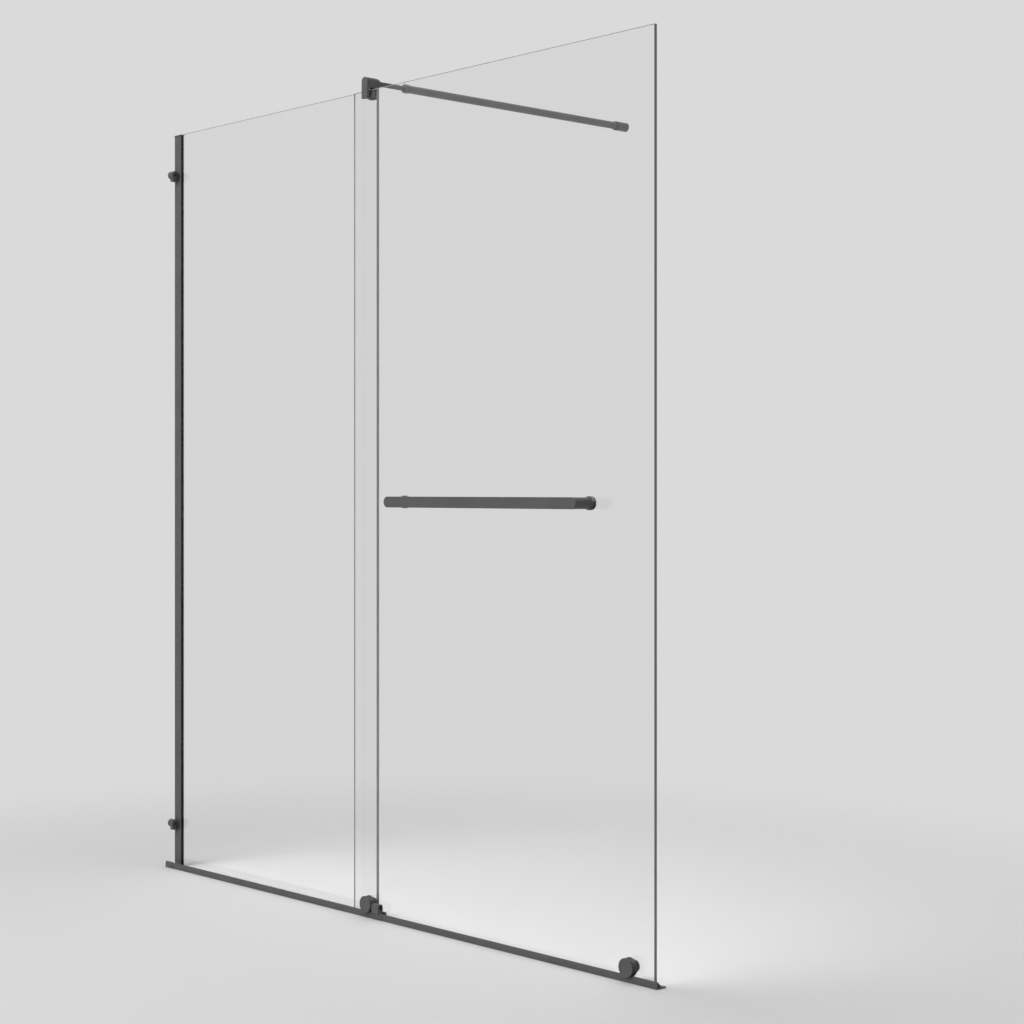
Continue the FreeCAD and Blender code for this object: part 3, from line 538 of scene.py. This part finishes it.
def add_mouth_ring():
    """The dark ring where the tube enters the wall socket."""
    node = "wall_socket"
    low, high = box_of([corner.co for corner in frame["nodes"][node].data.vertices])
    high.y = low.y
    low.y -= mouth_ring_depth
    rubber = finishes["black_rubber"]
    mesh = turned_mesh(node + "_mouth_ring", [(low, high)], mouth_ring_outline, rubber)
    add_piece(node + "_mouth_ring", mesh, "black_rubber", body_of(node))


def add_rear_shoe():
    """The bracket's block behind the door, with eased edges, in a lighter copy of the coating: painted
    light over the bracket's shade.
    """
    node = "bracket_rear_shoe"
    shape = bmesh.new()
    shape.from_mesh(frame["nodes"][node].data)
    bmesh.ops.remove_doubles(shape, verts=shape.verts, dist=weld_distance)
    bmesh.ops.dissolve_limit(shape, angle_limit=flat_angle, verts=shape.verts, edges=shape.edges)
    bmesh.ops.bevel(
        shape, geom=shape.edges[:], offset=shoe_edge, offset_type="OFFSET",
        segments=shoe_edge_segments, profile=shoe_edge_profile, affect="EDGES", clamp_overlap=True,
    )
    mesh = make_mesh(node + "_eased", shape, shoe_painted_light_finish)
    add_piece(node + "_eased", mesh, "graphite_metal", body_of(node), node)


def screw_rings(radius, length, head_height):
    """The rings of a screw from its inner end to the floor of its hexagon, with their depths."""
    edge = radius * screw_edge_share
    key = radius * hexagon_share
    depth = min(radius, length) * hexagon_depth_share
    if head_height:
        shank = circle_points(countersink_radius, screw_sides)
        lower = [(shank, length), (shank, head_height)]
    else:
        lower = [(circle_points(radius, screw_sides), length)]
    return lower + [
        (circle_points(radius, screw_sides), edge),
        (circle_points(radius - edge, screw_sides), 0.0),
        (hexagon_points(key), 0.0),
        (hexagon_points(key), depth),
    ]


def add_screw(shape, corners, sides, head_height):
    """Add one screw in the place of a plain solid, with its head towards the given side."""
    low, high = box_of(corners)
    size = high - low
    middle = (low + high) / 2
    # The screw lies along the axis with two equal sizes across it
    unevenness = [abs(size[(axis + 1) % 3] - size[(axis + 2) % 3]) for axis in range(3)]
    along = unevenness.index(min(unevenness))
    across = ((along + 1) % 3, (along + 2) % 3)
    sign = sides["xyz"[along]]
    head = high[along] if sign > 0 else low[along]
    radius = size[across[0]] / 2

    def place(point, depth):
        spot = Vector((0, 0, 0))
        spot[along] = head - sign * depth
        spot[across[0]] = middle[across[0]] + point[0]
        spot[across[1]] = middle[across[1]] + point[1]
        return shape.verts.new(spot)

    rings = screw_rings(radius, size[along], head_height)
    tip_depth = rings[-1][1] + radius * hexagon_share * hexagon_floor_share
    loops = [[place(point, depth) for point in points] for points, depth in rings]
    shape.faces.new(loops[0])
    join_rings(shape, loops + [[place((0, 0), tip_depth)]])


def add_screws():
    """Give every screw a chamfered head with a hexagon recess."""
    for node, sides in screw_heads.items():
        shape = bmesh.new()
        head_height = countersink_height if node in countersunk_screws else 0.0
        for corners in islands(frame["nodes"][node].data):
            add_screw(shape, corners, sides, head_height)
        bmesh.ops.recalc_face_normals(shape, faces=shape.faces)
        mesh = make_mesh(node + "_hexagon", shape, finishes["bright_steel"])
        add_piece(node + "_hexagon", mesh, "bright_steel", body_of(node), node)


def add_camera():
    """The photograph's viewpoint."""
    data = bpy.data.cameras.new("camera")
    data.sensor_fit = "HORIZONTAL"
    data.sensor_width = sensor_width
    data.lens = focal_pixels / photo_width * sensor_width
    data.shift_y = (horizon_pixel - photo_width / 2) / photo_width
    camera = bpy.data.objects.new("camera", data)
    camera.location = camera_place
    camera.rotation_euler = (math.pi / 2, 0.0, camera_turn)
    bpy.context.scene.collection.objects.link(camera)
    bpy.context.scene.camera = camera


def add_lamp(name, place, power, size):
    """A square softbox aimed at the object."""
    data = bpy.data.lights.new(name, "AREA")
    data.energy = power
    data.size = size
    lamp = bpy.data.objects.new(name, data)
    lamp.location = place
    aim = Vector(light_target) - Vector(place)
    lamp.rotation_euler = aim.to_track_quat("-Z", "Y").to_euler()
    lamp.visible_camera = False
    lamp.visible_transmission = False
    bpy.context.scene.collection.objects.link(lamp)


def add_world():
    """A pale background where it is seen, and a gentler light on the object."""
    world = bpy.data.worlds.new("studio")
    world.use_nodes = True
    bpy.context.scene.world = world
    tree = world.node_tree
    background = find_node(tree, "BACKGROUND")
    background.inputs["Color"].default_value = background_colour
    spread(tree, seen_directly(tree), world_light, background_level, background.inputs["Strength"])


def add_floor():
    """A large round floor under the object."""
    shape = bmesh.new()
    bmesh.ops.create_circle(shape, cap_ends=True, segments=floor_sides, radius=floor_radius)
    mesh = make_mesh("studio_floor", shape, studio_floor())
    floor = bpy.data.objects.new("studio_floor", mesh)
    floor.location = (*floor_middle, -floor_drop)
    bpy.context.scene.collection.objects.link(floor)


add_camera()
add_world()
add_floor()
for lamp_name, lamp in lamps.items():
    add_lamp(lamp_name, **lamp)
dress_nodes()
dress_pane("fixed_glass")
dress_pane("sliding_glass")
add_screws()
add_turned_pieces()
add_mouth_ring()
add_rear_shoe()
bpy.context.scene.view_settings.view_transform = "Standard"
